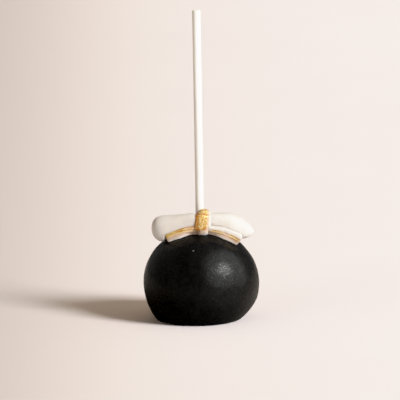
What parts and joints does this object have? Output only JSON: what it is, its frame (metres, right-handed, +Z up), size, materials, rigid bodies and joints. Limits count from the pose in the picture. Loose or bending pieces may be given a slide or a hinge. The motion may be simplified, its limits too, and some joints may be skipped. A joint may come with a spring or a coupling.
{
  "type": "cake pop",
  "caption": "Satin black coated cake ball standing on its flat side, with a white paper stick in its top and a white sugar bow with gold trim lying in front of the stick.",
  "frame": {"origin": "middle of the flat side that the ball stands on, which is the bottom centre of the box round the part", "axes": "+Z up along the stick, -Y towards the side that the bow faces, +X to the right as seen from that side"},
  "size_m": [0.046, 0.046, 0.1245],
  "materials": {
    "coating": "satin black sweet coating",
    "sugar_paste": "satin white sugar paste",
    "gold_paint": "edible gold paint on sugar paste",
    "paper": "smooth white rolled paper"
  },
  "bodies": {
    "root": {"cake_ball": "coating", "stick": "paper", "bow_loops": "sugar_paste", "bow_knot": "gold_paint", "tail_left": "sugar_paste", "tail_right": "sugar_paste"}
  },
  "joints": []
}
